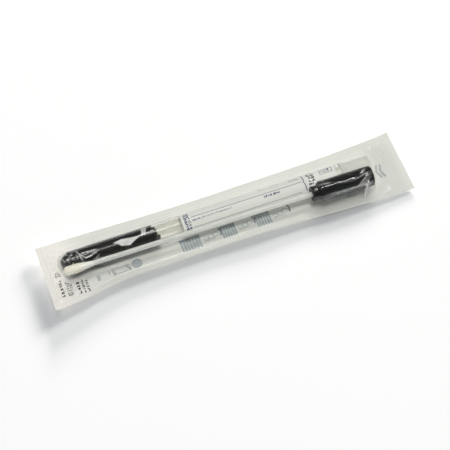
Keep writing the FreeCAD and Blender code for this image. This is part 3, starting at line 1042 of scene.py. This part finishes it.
def printed(name, strokes, place, ink, slot):
    """Strokes of ink laid on a surface. place turns plan points into points on it."""
    step = 0.5
    vertices, faces = [], []
    for corners, width in strokes:
        line = []
        for (ax, ay), (bx, by) in zip(corners[:-1], corners[1:]):
            pieces = max(1, math.ceil(math.hypot(bx - ax, by - ay) / step))
            for k in range(pieces):
                line.append((ax + (bx - ax) * k / pieces, ay + (by - ay) * k / pieces))
        line = np.array([*line, corners[-1]])
        heading = unit(np.gradient(line, axis=0))
        side = np.stack([-heading[:, 1], heading[:, 0]], 1)
        across = np.linspace(-0.5, 0.5, max(2, math.ceil(width / step) + 1))
        plan = line[:, None, :] + side[:, None, :] * (across * width)[None, :, None]
        faces += shifted(grid_faces(len(line), len(across)), len(vertices))
        vertices += list(place(plan.reshape(-1, 2)))
    new_piece(name, vertices, faces, slot, ink)


def on_web(plan, above=0.05):
    """Points on the back web's upper face."""
    columns = np.interp(plan[:, 0], COLUMNS_X, np.arange(len(COLUMNS_X)))
    first = np.clip(np.floor(columns).astype(int), 0, len(COLUMNS_X) - 2)
    share = columns - first
    heights = []
    for (x, y), i, t in zip(plan, first, share):
        z = [np.interp(y, web_points[k, :, 1], web_points[k, :, 2]) for k in (i, i + 1)]
        heights.append(z[0] * (1 - t) + z[1] * t + above)
    return np.column_stack([plan, heights])


def on_web_low(plan):
    """The same for tints, which lie under the lines."""
    return on_web(plan, 0.03)


def on_label(plan):
    """Points on the label, from x and the distance round it from its top, towards the back."""
    radius = (label_high[2] - label_low[2]) / 2 + 0.015
    level, up = frame_along(TUBE.line)
    centre = np.array([TUBE.centre_at(x) for x in plan[:, 0]])
    angle = plan[:, 1:2] / radius
    return centre - np.sin(angle) * radius * level + np.cos(angle) * radius * up


def text_like(x0, y0, x1, y1, rows, size, seed, weight=0.22, upright=False):
    """Rows of small marks that read as print but say nothing. Each is a few short strokes
    in a cell; upright rows run along Y."""
    random = np.random.default_rng(seed)
    strokes = []
    begin, end = (y0, y1) if upright else (x0, x1)
    low, high = (x0, x1) if upright else (y0, y1)
    for row in range(rows):
        middle = low + (high - low) * (row + 0.5) / rows
        at = begin
        while at < end:
            wide = size * random.uniform(0.4, 0.75)
            for _ in range(int(random.integers(2, 4))):
                kind = random.integers(0, 3)
                place = random.uniform(-0.5, 0.5) * size
                if kind == 0:
                    upright_at = at + abs(place)
                    ends = [(upright_at, middle - size * 0.5), (upright_at, middle + size * 0.4)]
                else:
                    begins = place if kind == 1 else -place
                    ends = [(at, middle + begins), (at + wide, middle + place)]
                if upright:
                    ends = [(across, along) for along, across in ends]
                strokes.append((ends, size * weight * random.uniform(0.75, 1.3)))
            at += wide + size * random.uniform(0.15, 0.45)
    return strokes


def hatched_bars(x0, x1, y0, y1, count):
    """A row of slightly leaning bars, with a line across them near their upper ends."""
    strokes = []
    for k in range(count):
        x = x0 + (x1 - x0) * k / (count - 1)
        strokes.append(([(x, y0), (x + 0.3, y1)], 0.62))
    strokes.append(([(x0 - 0.6, y1 - 1), (x1 + 0.8, y1 - 1.2)], 0.8))
    return strokes


def peeling_hand(x, y):
    """A plain sign of fingers that hold a flap, as rounded outlines over a line."""
    return [
        ring(x + 1.6, y - 0.6, 1.5, 0.4, squash=0.62),
        ring(x + 4.2, y - 0.2, 1.7, 0.4, squash=0.66),
        ring(x + 7, y + 0.4, 1.8, 0.45, squash=0.7),
        ([(x, y - 1.8), (x + 3, y - 2), (x + 6.4, y - 1.7)], 0.45),
    ]


def small_signs():
    """A round sign with a filled middle, and square ones."""
    return [
        ring(-54, -7.3, 2.6, 0.5),
        ring(-54, -6.9, 2.3, 0.7, 20, 160),
        ring(-54, -7.3, 1.31, 2.58),
        box_outline(-66.4, -9.4, -58.2, -6.2, 0.5),
        ([(-60, -6), (-58, -9.8)], 1),
        ([(-67.6, -5.6), (-67, -10.2)], 1.1),
        ([(-69.6, -6), (-69.4, -8.6)], 0.6),
        ([(-75.5, -6.4), (-75.6, -9.9)], 1.8),
    ]


def peel_mark():
    """A generic mark that points to where the pouch is peeled."""
    return [([(x + 1.4, 1.6), (x, -2.4), (x + 1.4, -6.4)], 1.3) for x in (86.4, 88.6)]


def web_print():
    blue = small_signs()
    # three times over: bars, and a hand that peels the flap
    pale, thumbs = [], []
    for start, end, hand in ((-28.7, -18.6, -16.2), (-5.6, 1.4, 3.2), (14, 21.4, 23.4)):
        blue += hatched_bars(start, end, -10.8, -2.2, 7 if end - start > 8 else 6)
        pale.append(([(start - 0.4, -6.4), (end + 0.8, -6.4)], 7.8))
        blue += peeling_hand(hand, -6.2)
        thumbs.append(([(hand + 9.3, -2.6), (hand + 10.2, -4.8), (hand + 9.6, -7.6)], 1))
    blue += text_like(65.4, -11.8, 71, -9.5, 3, 0.9, 71)
    blue += peel_mark()
    printed("pouch_back_blue_print", blue, on_web, "blue", "white_web")
    printed("pouch_back_thumb_print", thumbs, on_web, "slate", "white_web")
    printed("pouch_back_pale_print", pale, on_web_low, "pale", "white_web")

    dark = []
    for row in (
        (-97, -0.6, -93.9, 1.8, 2, 1.3, 72, 0.26),
        (-96.6, -12.6, -94.6, -2.6, 1, 1.9, 75, 0.2),
        (-93.2, -13, -90.2, -5.4, 2, 1.5, 73, 0.19),
        (-87.8, -13.4, -85.8, -5.8, 1, 1.9, 74, 0.3),
        (-85.4, -13.8, -81.2, -6.6, 2, 1.7, 76, 0.24),
    ):
        dark += text_like(*row, upright=True)
    printed("pouch_back_dark_print", dark, on_web, "dark", "white_web")


def label_print():
    start = label_low[0] + 0.6
    violet = text_like(start + 0.9, -6.4, start + 4.4, 4, 2, 1.5, 81, upright=True, weight=0.3)
    violet += [
        ([(start + 5.2, 0.7), (43, 0.3)], 0.24),
        ([(start + 5, 4.9), (12, 4.8)], 0.14),
        ([(19, 4.4), (21.4, 4.4)], 0.30),
        ([(26, 4.5), (31, 4.5)], 0.22),
        (
            [(43.2, 5.6), (44, 4.6), (44.1, 0.4), (43.6, -0.2), (44.2, -1), (44.4, -5.2)], 0.42
        ),
    ]
    for row in (
        (start + 5.4, -1.9, -13, -0.7, 1, 1.1, 82, 0.2),
        (-13, -1.8, 2.6, -0.6, 1, 1, 87, 0.15),
        (21, -1.9, 29.8, -0.4, 1, 1.3, 83, 0.3),
        (36.6, 2.4, 41.8, 4.4, 2, 0.8, 84, 0.14),
    ):
        violet += text_like(*row)
    violet += [box_outline(57.6, 1.2, 61, 5.6, 0.3), ([(59, 2.2), (59, 4.6)], 0.9)]
    violet += text_like(53.6, 0.8, 57, 6, 3, 0.9, 85, upright=True, weight=0.2)
    printed("tube_label_violet_print", violet, on_label, "violet", "label_stock")

    dark = text_like(46.2, -2.8, 50.6, 5.8, 2, 1.9, 86, upright=True, weight=0.26)
    # a dark line along the label's front, where the stick lies against it, is painted contact
    # shadow
    dark += [([(start + 5, -5.2), (42, -5.2)], 0.2)]
    printed("tube_label_dark_print_and_painted_shadow", dark, on_label, "dark", "label_stock")


web_print()
label_print()

for node, slot in [
    ("specimen_tube", "clear_tube"),
    ("tube_label", "label_stock"),
    ("tube_stopper", "natural_plastic"),
    ("swab_cap", "black_plastic"),
    ("swab_shaft", "white_plastic"),
]:
    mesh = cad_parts[node].data
    mesh.materials.clear()
    mesh.materials.append(MATERIALS[slot])


# ---- camera, lamps and floor ----

# Angles in degrees, and lengths in millimetres. The camera looks at a place that far to the
# right of the middle of the pouch and that far beyond it.
CAMERA_AZIMUTH = -21.0
CAMERA_ELEVATION = 64.4
CAMERA_DISTANCE = 645.0
CAMERA_LENS = 96
CAMERA_ASIDE = (-1.48, -2.74)
# Half the floor's side, in metres.
FLOOR_HALF = 2.5


def direction(azimuth, elevation):
    """From degrees: an azimuth measured from +X towards +Y, and an elevation."""
    azimuth, elevation = math.radians(azimuth), math.radians(elevation)
    return Vector((
        math.cos(azimuth) * math.cos(elevation),
        math.sin(azimuth) * math.cos(elevation),
        math.sin(elevation),
    ))


def make_camera():
    back = direction(CAMERA_AZIMUTH - 90, CAMERA_ELEVATION)
    right = direction(CAMERA_AZIMUTH, 0)
    deeper = Vector((-right.y, right.x, 0))
    up = back.cross(right)
    target = right * CAMERA_ASIDE[0] + deeper * CAMERA_ASIDE[1]
    camera = bpy.data.objects.new("camera", bpy.data.cameras.new("camera"))
    camera.data.lens = CAMERA_LENS
    camera.data.sensor_width = 36
    camera.data.clip_end = 20
    turn = Matrix((right, up, back)).transposed().to_4x4()
    camera.matrix_world = Matrix.Translation((target + back * CAMERA_DISTANCE) * MM) @ turn
    put_in_scene(camera)
    bpy.context.scene.camera = camera


def make_lamp(
    name, towards, distance, wide, deep, power, colour,
    shape="RECTANGLE", mirrored=True, lights=None, shadows_of=None,
):
    """A softbox in that direction from the object, facing it; wide runs level. It may light
    only some pieces, or cast the shadows of only some."""
    lamp = bpy.data.lights.new(name, "AREA")
    lamp.shape = shape
    lamp.size = wide
    lamp.size_y = deep
    lamp.energy = power
    lamp.color = colour
    held = bpy.data.objects.new(name, lamp)
    back = Vector(towards).normalized()
    level = Vector((1, 0, 0)) if abs(back.z) > 0.9 else back.cross(Vector((0, 0, 1)))
    level = (level - back * level.dot(back)).normalized()
    turned = Matrix((level, back.cross(level), back)).transposed().to_4x4()
    held.matrix_world = Matrix.Translation(back * distance) @ turned
    held.visible_glossy = mirrored
    held.visible_transmission = False
    held.light_linking.receiver_collection = lights
    held.light_linking.blocker_collection = shadows_of
    put_in_scene(held)


def make_floor():
    material, tree = new_material("floor")
    finished(material, bsdf(tree, "Diffuse", Color=(0.97, 0.97, 0.97, 1)))
    mesh = bpy.data.meshes.new("floor")
    corners = [(-1, -1), (1, -1), (1, 1), (-1, 1)]
    mesh.from_pydata([(x * FLOOR_HALF, y * FLOOR_HALF, 0) for x, y in corners], [], [(0, 1, 2, 3)])
    mesh.materials.append(material)
    floor = bpy.data.objects.new("floor", mesh)
    put_in_scene(floor)
    return floor


def group_of(piece, state):
    """What a lamp lights, or casts the shadows of: only this piece, or all but this one."""
    group = bpy.data.collections.new(state)
    group.objects.link(piece)
    group.collection_objects[0].light_linking.link_state = state
    return group


# How bright the sky is to matt pieces, in front and behind, and its tint to all but the camera.
FILL_FRONT = 0.30
FILL_BACK = 0.05
SKY_TINT = (0.85, 0.93, 1, 1)


def make_world():
    """White to the camera. What glossy or clear pieces show of it is white near the floor
    and dim above, like a studio's ceiling, and matt pieces get more of it from the front."""
    world = bpy.data.worlds.new("studio")
    bpy.context.scene.world = world
    world.use_nodes = True
    tree = world.node_tree
    tree.nodes.clear()
    path = add(tree, "LightPath").outputs
    generated = add(tree, "TexCoord").outputs["Generated"]
    towards = add(tree, "SeparateXYZ", Vector=generated).outputs
    mirrored = fade(tree, towards["Z"], 0.04, 0.22, 1.0, 0.06)
    bent = math_node(tree, "MAXIMUM", path["Is Glossy Ray"], path["Is Transmission Ray"])
    behind = math_node(tree, "ADD", math_node(tree, "MULTIPLY", towards["Y"], 0.5), 0.5)
    strength = blend(tree, bent, span(tree, behind, FILL_FRONT, FILL_BACK), mirrored, "FLOAT")
    strength = blend(tree, path["Is Camera Ray"], strength, 1.0, "FLOAT")
    tint = blend(tree, path["Is Camera Ray"], SKY_TINT, (1, 1, 1, 1))
    sky = add(tree, "Background", Color=tint, Strength=strength)
    add(tree, "OutputWorld", Surface=sky.outputs[0])


# How far off the lamps are, in metres, and their colours.
FAR = 8.0
NEAR = 5.0
LOW_COLOUR = (1, 0.985, 0.95)
KEY_COLOUR = (1, 0.985, 0.965)
WHITE = (1, 1, 1)
make_camera()
floor = make_floor()
floor_only = group_of(floor, "INCLUDE")
all_but_floor = group_of(floor, "EXCLUDE")
web_only = group_of(web, "INCLUDE")
all_but_web = group_of(web, "EXCLUDE")
make_lamp(
    "key", direction(70, 45), FAR, 3.4, 3.4, 100.0, KEY_COLOUR, "DISK",
    mirrored=False, shadows_of=all_but_web,
)
# the low lamps light only the floor, where only the back web casts their soft shadows
for name, azimuth, elevation, high, power in (
    ("low_back", 67, 8.6, 1.0, 1080.0),
    ("low_side", 32, 14.3, 1.4, 720.0),
    ("low_end", 7, 13, 1.2, 60.0),
):
    make_lamp(
        name, direction(azimuth, elevation), FAR, 1.4, high, power, LOW_COLOUR,
        mirrored=False, lights=floor_only, shadows_of=web_only,
    )
make_lamp(
    "overhead", (0.08, 0.2, 0.975), NEAR, 2.8, 0.7, 56.0, WHITE, shadows_of=all_but_web
)
make_lamp(
    "front", (-0.05, -0.17, 0.984), NEAR, 1.0, 1.0, 136.0, WHITE,
    mirrored=False, lights=all_but_floor,
)
make_world()
bpy.context.scene.view_settings.view_transform = "Standard"
